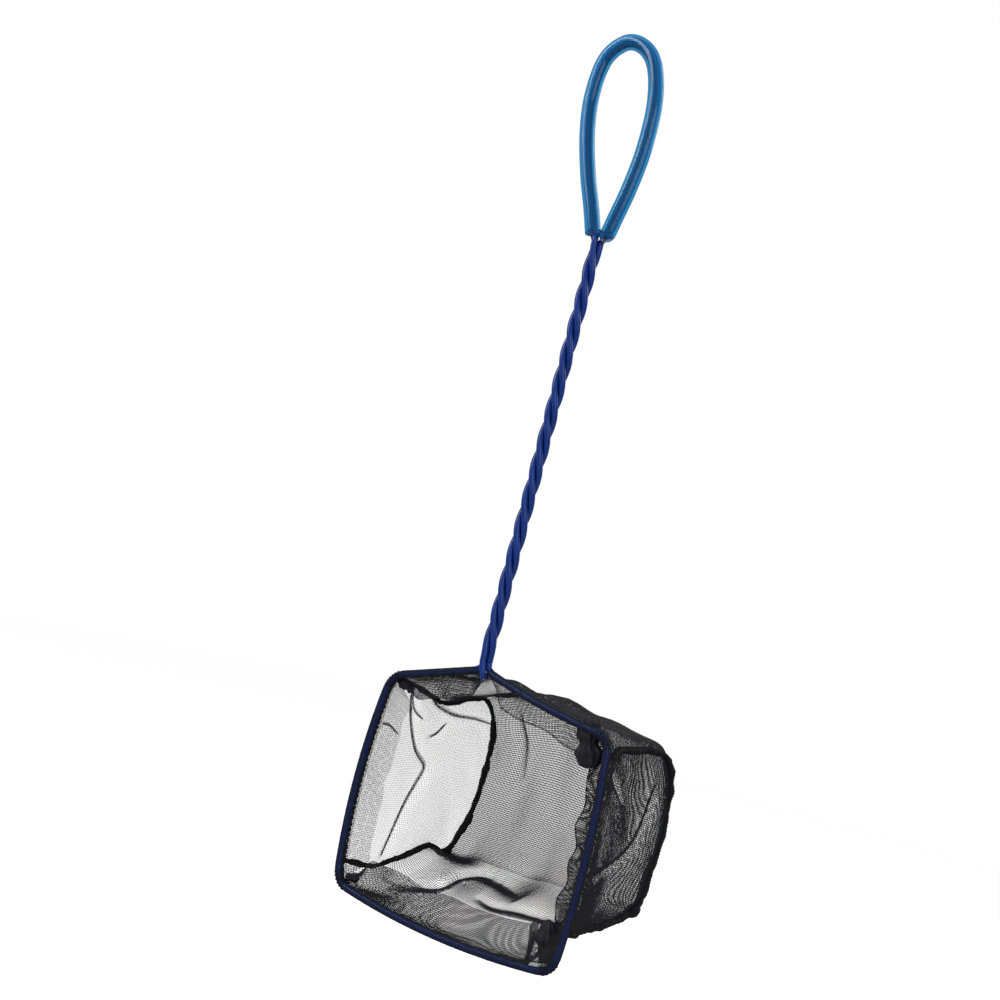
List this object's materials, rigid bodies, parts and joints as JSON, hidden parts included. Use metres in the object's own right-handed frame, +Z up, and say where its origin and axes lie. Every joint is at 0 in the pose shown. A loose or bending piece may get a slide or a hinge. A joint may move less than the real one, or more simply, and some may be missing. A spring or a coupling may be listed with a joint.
{
  "type": "aquarium fish net",
  "caption": "Hand net for an aquarium: a plastic coated wire bent to a hoop, twisted to a handle and looped for hanging, with a soft grip sleeve and a sewn mesh bag.",
  "frame": {"origin": "the hang point, under the top of the loop's sleeve, where the loop rests on a hook", "axes": "+Z up the handle, +X across the hoop, +Y into the bag, so that the mouth faces -Y"},
  "size_m": [0.1382, 0.085, 0.428],
  "materials": {
    "steel_core": "bright drawn steel wire",
    "coated_wire": "smooth dark blue vinyl coating",
    "grip_tube": "clear teal blue soft vinyl tube",
    "netting": "fine black nylon mesh",
    "seam_thread": "black overlocked thread",
    "hem_cloth": "black mesh folded over the blue wire"
  },
  "bodies": {
    "root": {"hoop_wire": "steel_core", "hoop_coating": "coated_wire", "strand_a_wire": "steel_core", "strand_a_coating": "coated_wire", "strand_b_wire": "steel_core", "strand_b_coating": "coated_wire", "strand_c_wire": "steel_core", "strand_c_coating": "coated_wire", "loop_wire": "steel_core", "loop_coating": "coated_wire", "grip_sleeve": "grip_tube", "net_top_panel": "netting", "net_back_panel": "netting", "net_bottom_panel": "netting", "net_left_gusset": "netting", "net_right_gusset": "netting", "seam_left": "seam_thread", "seam_right": "seam_thread", "hem_top_left": "hem_cloth", "hem_top_right": "hem_cloth", "hem_left": "hem_cloth", "hem_right": "hem_cloth", "hem_bottom": "hem_cloth", "corner_tacks": "seam_thread"}
  },
  "joints": []
}
